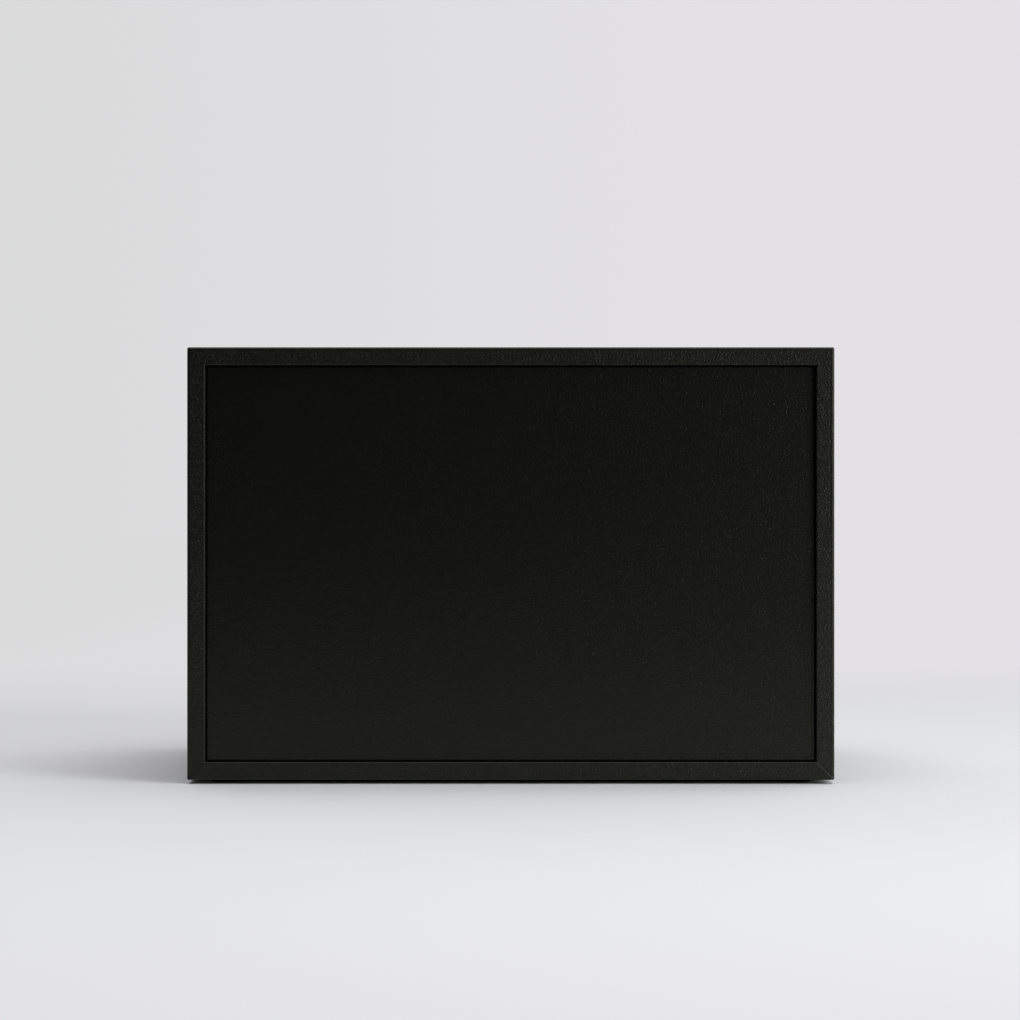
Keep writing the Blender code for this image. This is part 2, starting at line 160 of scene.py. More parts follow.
@dataclass(frozen=True)
class Leatherette:
    """Bookbinder's leatherette: coated paper-backed sheet, embossed with a fine pebble grain.

    The coating has a satin sheen that the grain breaks up. It is duller on the pasted borders,
    and smoother where a fold is rubbed down. Its grooves are painted darker as shade, its borders
    are painted lighter than the panel, the sides and the outer folds as painted light, and the
    rubbed-down folds are painted paler as a highlight.
    """

    name: str = "black_leatherette"
    crest: str = "#0f100a"
    # The valley colour is painted shade: the grain's grooves and creases are drawn darker than its
    # crests.
    valley_shade: str = "#040503"
    # The border colour is painted light: it makes the case's borders lighter than the panel, and
    # leaves the outer folds and sides darker.
    border_painted_light: str = "#10110b"
    # The fold colour is a painted highlight: the rubbed-down folds are drawn paler than the grain.
    fold_highlight: str = "#1c1d17"
    fold_share: float = 0.5
    border_roughness: float = 1.22
    border_relief: float = 1.0
    fold_relief: float = -0.6
    roughness_crest: float = 0.29
    roughness_valley: float = 0.41
    specular: float = 0.42
    specular_tint: str = "#f4f6e0"
    # Such pebbles are 0.5 to 1 mm wide. They are drawn at the coarse end, so that they show.
    pebble_size: float = 1.05 * MM
    pebble_blend: float = 0.35
    pebble_crown: float = 0.05
    pebble_foot: float = 0.6
    wobble_span: float = 2.2
    wobble_share: float = 0.0006
    crease_size: float = 2.0 * MM
    crease_share: float = 0.12
    fine_size: float = 0.38 * MM
    fine_share: float = 0.18
    patch_size: float = 26 * MM
    patch_contrast: float = 0.12
    relief: float = 0.10 * MM
    wave_size: float = 60 * MM
    wave_height: float = 0.05 * MM

    def make(self) -> bpy.types.Material:
        """Builds the material: dark coated grain, shinier on its crests, with painted shade in its
        grooves and painted light on its borders and folds.
        """
        material, tree = empty_material(self.name)
        place = add_node(tree, "TexCoord").outputs["Object"]
        wobble = add_node(tree, "TexNoise", inputs={
            "Vector": place, "Scale": 1 / (self.wobble_span * self.pebble_size), "Detail": 1.0})
        bent = add_node(tree, "Mix", {"data_type": "VECTOR"}, {
            "Factor": self.wobble_share, 4: place, 5: wobble.outputs["Color"]})
        pebbles = add_node(tree, "TexVoronoi", {"feature": "SMOOTH_F1"}, {
            "Vector": bent.outputs[1], "Scale": 1 / self.pebble_size,
            "Smoothness": self.pebble_blend})
        creases = add_node(tree, "TexVoronoi", {"feature": "DISTANCE_TO_EDGE"}, {
            "Vector": bent.outputs[1], "Scale": 1 / self.crease_size})
        fine = add_node(tree, "TexNoise", inputs={
            "Vector": place, "Scale": 1 / self.fine_size, "Detail": 2.0, "Roughness": 0.6})
        patches = add_node(tree, "TexNoise", inputs={
            "Vector": place, "Scale": 1 / self.patch_size, "Detail": 3.0, "Roughness": 0.55})
        dome = add_node(tree, "MapRange", inputs={
            "Value": pebbles, "From Min": self.pebble_crown,
            "From Max": self.pebble_foot, "To Min": 1.0, "To Max": 0.0})
        groove = add_node(tree, "MapRange", SMOOTH_RAMP, {
            "Value": creases, "From Max": self.crease_share})
        cut = add_node(tree, "Math", PRODUCT, {0: dome, 1: groove})
        grain = add_node(tree, "Mix", inputs={"Factor": self.fine_share, 2: cut, 3: fine})
        # Painted shade: the colour falls from the crest colour to the darker valley colour in the
        # grain's grooves and creases.
        colour = add_node(tree, "Mix", COLOUR_MIX, {
            "Factor": grain, 6: linear_colour(self.valley_shade), 7: linear_colour(self.crest)})
        cloud = add_node(tree, "MapRange", inputs={
            "Value": patches, "From Min": 0.3, "From Max": 0.7,
            "To Min": 1 - self.patch_contrast, "To Max": 1 + self.patch_contrast})
        clouded = add_node(tree, "VectorMath", {"operation": "SCALE"}, {
            0: colour.outputs[2], "Scale": cloud})
        fold = add_node(tree, "Attribute", {"attribute_name": "fold"}).outputs["Fac"]
        border = add_node(tree, "Attribute", {"attribute_name": "border"}).outputs["Fac"]
        # Painted light: the borders' crests take the lighter border colour, so the panel, sides and
        # outer folds stay darker.
        bordered = add_node(tree, "Math", PRODUCT, {0: border, 1: grain})
        edged = add_node(tree, "Mix", COLOUR_MIX, {
            "Factor": bordered, 6: clouded, 7: linear_colour(self.border_painted_light)})
        # Painted highlight: the rubbed-down folds are paled towards the fold colour.
        stretched = add_node(tree, "Math", PRODUCT, {0: fold, 1: self.fold_share})
        tinted = add_node(tree, "Mix", COLOUR_MIX, {
            "Factor": stretched, 6: edged.outputs[2], 7: linear_colour(self.fold_highlight)})
        roughness = add_node(tree, "MapRange", inputs={
            "Value": grain, "To Min": self.roughness_valley, "To Max": self.roughness_crest})
        duller = add_node(tree, "MapRange", inputs={
            "Value": border, "To Min": 1.0, "To Max": self.border_roughness})
        gloss = add_node(tree, "Math", PRODUCT, {0: roughness, 1: duller})
        waves = add_node(tree, "TexNoise", inputs={
            "Vector": place, "Scale": 1 / self.wave_size, "Detail": 1.0})
        board = add_node(tree, "Bump", inputs={
            "Strength": 1.0, "Distance": self.wave_height, "Height": waves})
        raised = add_node(tree, "Math", {"operation": "MULTIPLY_ADD"}, {
            0: border, 1: self.relief * self.border_relief, 2: self.relief})
        height = add_node(tree, "Math", {"operation": "MULTIPLY_ADD"}, {
            0: fold, 1: self.relief * self.fold_relief, 2: raised})
        relief = add_node(tree, "Bump", inputs={
            "Strength": 1.0, "Distance": height, "Height": grain, "Normal": board})
        shader = add_node(tree, "BsdfPrincipled", inputs={
            "Base Color": tinted.outputs[2], "Roughness": gloss,
            "IOR": 1.5, "Specular IOR Level": self.specular,
            "Specular Tint": linear_colour(self.specular_tint), "Normal": relief})
        put_out(tree, shader.outputs["BSDF"])
        return material


@dataclass(frozen=True)
class FlockedPaper:
    """Paper with nylon flock stuck upright on it: no gloss, and paler where it is seen edge on."""

    name: str
    pile: str = "#0c0c0e"
    rubbed: str = "#242428"
    sheen: float = 0.12
    # Single fibres are too fine to show, and are drawn as tufts.
    fibre_size: float = 1.1 * MM
    nap_size: float = 14 * MM
    nap_share: float = 0.5
    relief: float = 0.3 * MM

    def make(self) -> bpy.types.Material:
        """Builds the material: fine noise, and slow patches where the nap lies another way."""
        material, tree = empty_material(self.name)
        place = add_node(tree, "TexCoord").outputs["Object"]
        fibres = add_node(tree, "TexNoise", inputs={
            "Vector": place, "Scale": 1 / self.fibre_size, "Detail": 3.0, "Roughness": 0.7})
        nap = add_node(tree, "TexNoise", inputs={
            "Vector": place, "Scale": 1 / self.nap_size, "Detail": 2.0, "Distortion": 0.6})
        lay = add_node(tree, "Mix", inputs={"Factor": self.nap_share, 2: fibres, 3: nap})
        colour = add_node(tree, "Mix", COLOUR_MIX, {
            "Factor": lay, 6: linear_colour(self.pile), 7: linear_colour(self.rubbed)})
        relief = add_node(tree, "Bump", inputs={
            "Strength": 0.8, "Distance": self.relief, "Height": fibres})
        shader = add_node(tree, "BsdfPrincipled", inputs={
            "Base Color": colour.outputs[2], "Roughness": 0.95, "IOR": 1.5,
            "Specular IOR Level": 0.1, "Sheen Weight": self.sheen, "Sheen Roughness": 0.5,
            "Normal": relief})
        put_out(tree, shader.outputs["BSDF"])
        return material


@dataclass(frozen=True)
class PaperedFibreboard:
    """Medium density fibreboard under black paper: smooth and matt, with a faint cloudy tooth."""

    name: str = "black_papered_fibreboard"
    dark: str = "#100f0e"
    pale: str = "#242120"
    # The paper's fibres are too fine to show, and are drawn as a coarser tooth.
    fibre_size: float = 0.9 * MM
    fibre_stretch: tuple[float, float, float] = (1.0, 0.35, 1.0)
    cloud_size: float = 9 * MM
    cloud_share: float = 0.4
    tooth: float = 0.04 * MM

    def make(self) -> bpy.types.Material:
        """Builds the material: matt paper whose fibres show as a fine stretched noise."""
        material, tree = empty_material(self.name)
        place = add_node(tree, "TexCoord").outputs["Object"]
        stretched = add_node(tree, "Mapping", inputs={
            "Vector": place, "Scale": self.fibre_stretch})
        fibres = add_node(tree, "TexNoise", inputs={
            "Vector": stretched, "Scale": 1 / self.fibre_size, "Detail": 3.0})
        clouds = add_node(tree, "TexNoise", inputs={
            "Vector": place, "Scale": 1 / self.cloud_size, "Detail": 2.0})
        both = add_node(tree, "Mix", inputs={"Factor": self.cloud_share, 2: fibres, 3: clouds})
        colour = add_node(tree, "Mix", COLOUR_MIX, {
            "Factor": both, 6: linear_colour(self.dark), 7: linear_colour(self.pale)})
        roughness = add_node(tree, "MapRange", inputs={
            "Value": both, "To Min": 0.72, "To Max": 0.9})
        relief = add_node(tree, "Bump", inputs={
            "Strength": 0.4, "Distance": self.tooth, "Height": fibres})
        shader = add_node(tree, "BsdfPrincipled", inputs={
            "Base Color": colour.outputs[2], "Roughness": roughness,
            "IOR": 1.5, "Specular IOR Level": 0.3, "Normal": relief})
        put_out(tree, shader.outputs["BSDF"])
        return material


@dataclass(frozen=True)
class TurnedMetal:
    """Turned and plated metal: fine rings from the lathe round the piece's own axis, along Y."""

    name: str
    axis_height: float
    colour: str = "#b3aea4"
    bright: str = "#cbc6bc"
    roughness: float = 0.27
    # The tool leaves rings about 0.1 mm apart. They are drawn wider and deeper, so that they show.
    ring_spacing: float = 0.5 * MM
    ring_depth: float = 0.02 * MM
    smudge_size: float = 3.5 * MM

    def make(self) -> bpy.types.Material:
        """Builds the material: rings of slightly different gloss, under faint smudges."""
        material, tree = empty_material(self.name)
        place = add_node(tree, "TexCoord").outputs["Object"]
        centred = add_node(tree, "Mapping", inputs={
            "Vector": place, "Location": (0.0, 0.0, -self.axis_height)})
        # At a scale of one, this texture has a ring every pi / 10.
        rings = add_node(tree, "TexWave", {
            "wave_type": "RINGS", "rings_direction": "Y", "wave_profile": "SIN"}, {
            "Vector": centred, "Scale": math.pi / (10 * self.ring_spacing),
            "Distortion": 1.2, "Detail": 2.0, "Detail Scale": 3.0})
        smudges = add_node(tree, "TexNoise", inputs={
            "Vector": place, "Scale": 1 / self.smudge_size, "Detail": 3.0})
        colour = add_node(tree, "Mix", COLOUR_MIX, {
            "Factor": smudges, 6: linear_colour(self.colour), 7: linear_colour(self.bright)})
        mixed = add_node(tree, "Mix", inputs={"Factor": 0.5, 2: rings.outputs["Fac"], 3: smudges})
        roughness = add_node(tree, "MapRange", inputs={
            "Value": mixed, "To Min": self.roughness * 0.8, "To Max": self.roughness * 1.3})
        relief = add_node(tree, "Bump", inputs={
            "Strength": 0.5, "Distance": self.ring_depth, "Height": rings.outputs["Fac"]})
        shader = add_node(tree, "BsdfPrincipled", inputs={
            "Base Color": colour.outputs[2], "Metallic": 1.0,
            "Roughness": roughness, "Normal": relief})
        put_out(tree, shader.outputs["BSDF"])
        return material


@dataclass(frozen=True)
class FoamRubber:
    """Black cellular rubber, die-cut: matt, with small open cells."""

    name: str = "black_foam_rubber"
    skin: str = "#161616"
    # The cell colour is painted shade: the pits of the open cells are drawn darker than the skin.
    pit_shade: str = "#0b0b0b"
    cell_size: float = 0.6 * MM
    cell_depth: float = 0.1 * MM

    def make(self) -> bpy.types.Material:
        """Builds the material: pits of cells in a matt rubber, painted darker as shade."""
        material, tree = empty_material(self.name)
        place = add_node(tree, "TexCoord").outputs["Object"]
        cells = add_node(tree, "TexVoronoi", {"feature": "F1"}, {
            "Vector": place, "Scale": 1 / self.cell_size})
        colour = add_node(tree, "Mix", COLOUR_MIX, {
            "Factor": cells, 6: linear_colour(self.pit_shade), 7: linear_colour(self.skin)})
        relief = add_node(tree, "Bump", inputs={
            "Strength": 0.7, "Distance": self.cell_depth, "Height": cells})
        shader = add_node(tree, "BsdfPrincipled", inputs={
            "Base Color": colour.outputs[2], "Roughness": 0.9, "IOR": 1.5,
            "Specular IOR Level": 0.25, "Normal": relief})
        put_out(tree, shader.outputs["BSDF"])
        return material


def arc(
    centre: tuple[float, float], radius: float, start: float, end: float, steps: int
) -> list[tuple[float, float]]:
    """Points of an arc in a profile's plane.

    Args:
        centre: The arc's centre.
        radius: Its radius.
        start: The first point's angle, in degrees.
        end: The last point's angle, in degrees.
        steps: How many steps lie between them.

    Returns:
        The points, from start to end.
    """
    angles = (math.radians(start + (end - start) * step / steps) for step in range(steps + 1))
    return [
        (centre[0] + radius * math.cos(angle), centre[1] + radius * math.sin(angle))
        for angle in angles
    ]


def turn_outwards(shape: bmesh.types.BMesh) -> None:
    """Merges doubles, and turns the faces outwards, by the topmost one."""
    bmesh.ops.remove_doubles(shape, verts=shape.verts, dist=MERGE_DISTANCE)
    bmesh.ops.dissolve_degenerate(shape, edges=shape.edges, dist=MERGE_DISTANCE / 2)
    bmesh.ops.recalc_face_normals(shape, faces=shape.faces)
    shape.normal_update()
    top = max(shape.faces, key=lambda face: face.calc_center_median().z)
    if top.normal.z < 0:
        bmesh.ops.reverse_faces(shape, faces=shape.faces)


def new_piece(
    name: str,
    shape: bmesh.types.BMesh,
    material: bpy.types.Material,
    body: Body,
    replaced: Iterable[str] = (),
) -> bpy.types.Object:
    """Makes a shape an object at the origin that rides on a body.

    Args:
        name: The piece's name.
        shape: Its mesh, which is freed here.
        material: Its finish.
        body: The body that it moves with.
        replaced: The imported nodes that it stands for.

    Returns:
        The piece.
    """
    mesh = bpy.data.meshes.new(name)
    shape.to_mesh(mesh)
    shape.free()
    mesh.materials.append(material)
    shade(mesh)
    piece = bpy.data.objects.new(name, mesh)
    bpy.context.scene.collection.objects.link(piece)
    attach(piece, body.value)
    nodes = tuple(replaced)
    if nodes:
        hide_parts(*nodes)
    LOG.info("piece %s on %s stands for %s", name, body.value, ", ".join(nodes) or "nothing")
    return piece


def shade(mesh: bpy.types.Mesh) -> None:
    """Shades a mesh smooth, up to its sharp edges."""
    mesh.shade_smooth()
    mesh.set_sharp_from_angle(angle=SMOOTH_ANGLE)


def settle(piece: bpy.types.Object) -> None:
    """Applies a piece's modifiers to its mesh, and shades it anew."""
    bpy.context.view_layer.update()
    graph = bpy.context.evaluated_depsgraph_get()
    piece.data = bpy.data.meshes.new_from_object(piece.evaluated_get(graph))
    piece.modifiers.clear()
    shade(piece.data)


def add_thickness(piece: bpy.types.Object, thickness: float) -> None:
    """Gives a sheet its thickness, inwards from its outer face."""
    wall = piece.modifiers.new("Sheet thickness", "SOLIDIFY")
    wall.thickness = thickness
    wall.offset = -1.0
    wall.use_even_offset = True
    settle(piece)


def turned_shape(
    profile: Sequence[tuple[float, float]], foot: Vector, forward: float, steps: int
) -> bmesh.types.BMesh:
    """Turns a half section round an axis along Y, as on a lathe.

    Args:
        profile: The section's points as (radius, height), from pole to pole or closed on itself.
        foot: The axis point where the height is zero.
        forward: The sign of Y that the heights grow along.
        steps: How many steps go round.

    Returns:
        The closed shape.
    """
    shape = bmesh.new()
    points = [shape.verts.new(foot + Vector((radius, forward * height, 0)))
              for radius, height in profile]
    for first, second in zip(points, points[1:]):
        shape.edges.new((first, second))
    bmesh.ops.spin(
        shape, geom=shape.verts[:] + shape.edges[:], cent=foot, axis=(0, 1, 0), dvec=(0, 0, 0),
        angle=math.tau, steps=steps, use_merge=True, use_duplicate=False,
    )
    bmesh.ops.remove_doubles(shape, verts=shape.verts, dist=MERGE_DISTANCE)
    bmesh.ops.recalc_face_normals(shape, faces=shape.faces)
    return shape


@dataclass(frozen=True)
class SheetPoint:
    """One point of a wrapped sheet's section."""

    inset: float
    y: float
    mitre: float = 0.0
    fold: float = 0.0
    border: float = 0.0


@dataclass
class Wrapping:
    """A sheet wrapped round the edges of a rectangular panel or case, folded at its corners.

    Every corner has a fold at 45 degrees, where the level strip laps over the upright one.
    """

    half_x: float
    half_z: float
    middle_z: float
    corner_radius: float
    face_middle_y: float
    lap: tuple[tuple[float, float], ...] = PLAIN_CORNER
    upper_lap_share: float = 1.0

    def place(self, point: SheetPoint, hand_x: int, hand_z: int, station: int) -> Vector:
        """Where a point of the section comes to lie at one station of a corner.

        Args:
            point: The section's point.
            hand_x: The corner's side in X, 1 or -1.
            hand_z: The corner's side in Z, 1 or -1.
            station: The step round the corner, from the upright strip to the level one.

        Returns:
            The place.
        """
        along, height = self.lap[station]
        turn = math.radians(90 * station / (len(self.lap) - 1))
        x = self.half_x - self.corner_radius
        z = self.half_z - self.corner_radius
        left = self.corner_radius - point.inset
        if left > 0:
            x += left * math.cos(turn)
            z += left * math.sin(turn)
        else:
            x += left - max(along, 0) * point.mitre
            z += left - max(-along, 0) * point.mitre
        outward = math.copysign(1, point.y - self.face_middle_y)
        raised = height * (self.upper_lap_share if hand_z > 0 else 1.0)
        y = point.y + outward * raised * point.mitre
        return Vector((hand_x * x, y, self.middle_z + hand_z * z))

    def carry(self, section: Sequence[SheetPoint], closed: bool = False) -> bmesh.types.BMesh:
        """Carries a section round the four corners and closes it on itself.

        Args:
            section: The points of the sheet's section, from one end to the other.
            closed: Whether the section's last point joins its first one.

        Returns:
            The sheet. Its vertex layers "fold" and "border" say how far a place is one.
        """
        shape = bmesh.new()
        shares = (shape.verts.layers.float.new("fold"), shape.verts.layers.float.new("border"))
        upward = range(len(self.lap))
        downward = upward[::-1]
        stations = [
            (hand_x, hand_z, station)
            for hand_x, hand_z, steps in (
                (1, 1, upward), (-1, 1, downward), (-1, -1, upward), (1, -1, downward))
            for station in steps
        ]
        ends = 1 if closed else 0
        chain = [shape.verts.new(self.place(point, *stations[0])) for point in section]
        for pair in zip(chain, chain[1:] + chain[:ends]):
            shape.edges.new(pair)
        for stop in stations[1:] + stations[:1]:
            edges = [shape.edges.get(pair) for pair in zip(chain, chain[1:] + chain[:ends])]
            made = bmesh.ops.extrude_edge_only(shape, edges=edges)["geom"]
            fresh = {item for item in made if isinstance(item, bmesh.types.BMVert)}
            chain = [
                next(edge.other_vert(vert) for edge in vert.link_edges
                     if edge.other_vert(vert) in fresh)
                for vert in chain
            ]
            for vert, point in zip(chain, section):
                vert.co = self.place(point, *stop)
        rows = len(section)
        for number, vert in enumerate(shape.verts):
            point = section[number % rows]
            vert[shares[0]], vert[shares[1]] = point.fold, point.border
        return shape


def folded(
    points: Sequence[tuple[float, float]],
    laps: tuple[float, float] = (0.0, 0.0),
    pressed: float = 0.0,
) -> list[SheetPoint]:
    """Makes an arc of points a fold of a sheet.

    Args:
        points: The arc's points as (inset, y).
        laps: How far the arc's first and last points belong to a lapped border.
        pressed: How hard the fold is rubbed down, which flattens its middle's grain and paints it
            paler as a highlight.

    Returns:
        The section's points.
    """
    last = len(points) - 1
    made = []
    for step, (inset, y) in enumerate(points):
        share = step / last
        lap = laps[0] + (laps[1] - laps[0]) * share
        fold = pressed * math.sin(math.pi * share)
        made.append(SheetPoint(inset, y, lap, fold, lap * pressed))
    return made


@dataclass
class Covering:
    """The leatherette sheet's own sizes."""

    thickness: float = 0.8 * MM
    turn_in: float = 10.0 * MM
    panel_fold: float = 0.9 * MM
    panel_corner: float = 0.7 * MM
    fold_steps: int = 6
    # How far the panels' face folds are rubbed down: flatter grain, and paler as a painted
    # highlight.
    edge_rub_and_highlight: float = 0.4
    flat_ring: float = 0.6 * MM
    hole_segments: int = 32


@dataclass
class Case:
    """The covered case: four boards under one sheet, two shelves, a lining and four feet."""

    leatherette: bpy.types.Material
    board: bpy.types.Material
    lined: bpy.types.Material
    flock: bpy.types.Material
    foam: bpy.types.Material
    nodes: dict[str, bpy.types.Object]
    wall: float = 9.5 * MM
    outer_fold: float = 1.3 * MM
    inner_fold: float = 0.6 * MM
    corner_radius: float = 0.9 * MM
    front_turn_in: float = 10.2 * MM
    rear_turn_in: float = 9.0 * MM
    flat_ring: float = 0.3 * MM
    crease_inset: float = 2.3 * MM
    crease_width: float = 0.7 * MM
    crease_depth: float = 0.05 * MM
    lap: tuple[tuple[float, float], ...] = (
        (-0.6 * MM, 0.0), (-0.05 * MM, 0.0), (0.0, 0.01 * MM), (0.30 * MM, 0.15 * MM),
        (0.42 * MM, 0.18 * MM), (0.6 * MM, 0.18 * MM), (2.0 * MM, 0.10 * MM), (6.0 * MM, 0.0))
    upper_lap_share: float = 0.3
    foot_segments: int = 48
    foot_edge: float = 0.3 * MM
    covering: Covering = field(default_factory=Covering)

    def section(self, front_y: float, rear_y: float) -> list[SheetPoint]:
        """The sheet's closed section: its show side from front opening to rear, and back."""
        steps, thickness = self.covering.fold_steps, self.covering.thickness
        outer, inner, wall = self.outer_fold, self.inner_fold, self.wall
        front_inner = arc((wall - inner, front_y + inner), inner, 0, -90, steps)
        front_outer = arc((outer, front_y + outer), outer, -90, -180, steps)
        rear_outer = arc((outer, rear_y - outer), outer, 180, 90, steps)
        rear_inner = arc((wall - inner, rear_y - inner), inner, 90, 0, steps)
        return [
            SheetPoint(wall, front_y + self.front_turn_in),
            # The inner folds are rubbed down: flatter grain, and paler as a painted highlight.
            *folded(front_inner, (0.0, 1.0), 1.0),
            SheetPoint(wall - inner - self.flat_ring, front_y, 1.0, 0.0, 1.0),
            *self.crease(front_y, -1)[::-1],
            *folded(front_outer, (1.0, 0.0)),
            *folded(rear_outer, (0.0, 1.0)),
            *self.crease(rear_y, 1),
            SheetPoint(wall - inner - self.flat_ring, rear_y, 1.0, 0.0, 1.0),
            *folded(rear_inner, (1.0, 0.0), 1.0),
            SheetPoint(wall, rear_y - self.rear_turn_in),
            SheetPoint(wall - thickness, rear_y - self.rear_turn_in),
            SheetPoint(wall - thickness, rear_y - thickness),
            SheetPoint(thickness, rear_y - thickness),
            SheetPoint(thickness, front_y + thickness),
            SheetPoint(wall - thickness, front_y + thickness),
            SheetPoint(wall - thickness, front_y + self.front_turn_in),
        ]

    def crease(self, face_y: float, outward: int) -> list[SheetPoint]:
        """The line pressed into a border beside its outer fold, from the fold inwards."""
        half = self.crease_width / 2
        return [
            SheetPoint(self.crease_inset + offset, face_y - outward * depth, 1.0, 0.0, 1.0)
            for offset, depth in (
                (-half, 0.0), (-0.4 * half, 0.8 * self.crease_depth), (0.0, self.crease_depth),
                (0.4 * half, 0.8 * self.crease_depth), (half, 0.0), (half + self.flat_ring, 0.0))
        ]

    def build_cover(self) -> None:
        """The sheet round the case, lapped at the corners of its front and rear borders."""
        low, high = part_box("case_cover")
        wrapping = Wrapping(
            half_x=(high.x - low.x) / 2, half_z=(high.z - low.z) / 2,
            middle_z=(high.z + low.z) / 2, corner_radius=self.corner_radius,
            face_middle_y=(low.y + high.y) / 2, lap=self.lap,
            upper_lap_share=self.upper_lap_share)
        shape = wrapping.carry(self.section(low.y, high.y), closed=True)
        turn_outwards(shape)
        new_piece("case_covering", shape, self.leatherette, Body.CASE,
                  ["case_cover"])

    def build_feet(self) -> None:
        """Four die-cut pads with rounded rims."""
        for row in ("front", "rear"):
            for hand in ("left", "right"):
                node = f"foot_{row}_{hand}"
                low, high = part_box(node)
                radius, height = (high.x - low.x) / 2, high.z - low.z
                middle = (low + high) / 2
                shape = bmesh.new()
                bmesh.ops.create_cone(shape, cap_ends=True, segments=self.foot_segments,
                                      radius1=radius, radius2=radius, depth=height)
                bmesh.ops.translate(shape, vec=middle, verts=shape.verts)
                rims = [edge for edge in shape.edges
                        if abs(edge.verts[0].co.z - edge.verts[1].co.z) < MERGE_DISTANCE]
                bmesh.ops.bevel(shape, geom=rims, offset=self.foot_edge, segments=3,
                                profile=0.5, affect="EDGES", material=-1)
                new_piece(node + "_pad", shape, self.foam, Body.CASE, [node])

    def dress_boards(self) -> None:
        """The boards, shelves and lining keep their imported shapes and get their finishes."""
        for name, finish in (
            ("case_top_board", self.board), ("case_bottom_board", self.board),
            ("case_left_board", self.board), ("case_right_board", self.board),
            ("shelf_under_middle_drawer", self.lined), ("shelf_under_upper_drawer", self.lined),
            ("bay_lining", self.flock),
        ):
            dress(self.nodes[name], finish)

    def build(self) -> None:
        """Builds and dresses the whole case."""
        self.build_cover()
        self.build_feet()
        self.dress_boards()


def dress(node: bpy.types.Object, finish: bpy.types.Material) -> None:
    """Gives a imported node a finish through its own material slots."""
    for slot in node.material_slots:
        slot.material = finish
    LOG.info("node %s finished in %s", node.name, finish.name)


def panel_shape(
    low: Vector, high: Vector, show: int, covering: Covering, hole: float = 0.0
) -> bmesh.types.BMesh:
    """A sheet wrapped over one face of a panel and turned in behind it.

    Args:
        low: The wrapped panel's lowest corner.
        high: Its highest corner.
        show: The sign of Y that its show face looks along.
        covering: The sheet's sizes.
        hole: The radius of a screw hole through the middle of the show face, if any.

    Returns:
        The open sheet.
    """
    radius, steps = covering.panel_fold, covering.fold_steps
    face_y, back_y = (high.y, low.y) if show > 0 else (low.y, high.y)
    back_fold = arc((radius, back_y + show * radius), radius, -90 * show, -180 * show, steps)
    face_fold = arc((radius, face_y - show * radius), radius, 180 * show, 90 * show, steps)
    section = [
        SheetPoint(covering.turn_in, back_y),
        *folded(back_fold),
        # The face fold is rubbed down: flatter grain, and paler as a painted highlight.
        *folded(face_fold, pressed=covering.edge_rub_and_highlight),
        SheetPoint(radius + covering.flat_ring, face_y),
    ]
    middle = (low + high) / 2
    wrapping = Wrapping(
        half_x=(high.x - low.x) / 2, half_z=(high.z - low.z) / 2, middle_z=middle.z,
        corner_radius=covering.panel_corner, face_middle_y=middle.y)
    shape = wrapping.carry(section)
    bmesh.ops.remove_doubles(shape, verts=shape.verts, dist=MERGE_DISTANCE)
    rim = [edge for edge in shape.edges if edge.is_boundary
           and all(abs(vert.co.y - face_y) < MERGE_DISTANCE for vert in edge.verts)]
    if hole:
        ring = bmesh.ops.create_circle(shape, segments=covering.hole_segments, radius=hole,
                                       cap_ends=False)["verts"]
        for vert in ring:
            vert.co = Vector((vert.co.x, face_y, middle.z + vert.co.y))
        rim += [edge for edge in shape.edges if edge.verts[0] in ring and edge.verts[1] in ring]
    bmesh.ops.triangle_fill(shape, use_beauty=True, use_dissolve=False, edges=rim,
                            normal=(0, show, 0))
    turn_outwards(shape)
    return shape


@dataclass
class BackPanel:
    """The covered panel that is let into the rear of the case."""

    leatherette: bpy.types.Material
    board: bpy.types.Material
    nodes: dict[str, bpy.types.Object]
    covering: Covering = field(default_factory=Covering)

    def build(self) -> None:
        """Builds the sheet over the panel's board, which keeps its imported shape."""
        low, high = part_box("back_panel_cover")
        shape = panel_shape(low, high, 1, self.covering)
        cover = new_piece("back_panel_covering", shape, self.leatherette, Body.CASE,
                          ["back_panel_cover"])
        add_thickness(cover, self.covering.thickness)
        dress(self.nodes["back_panel_board"], self.board)


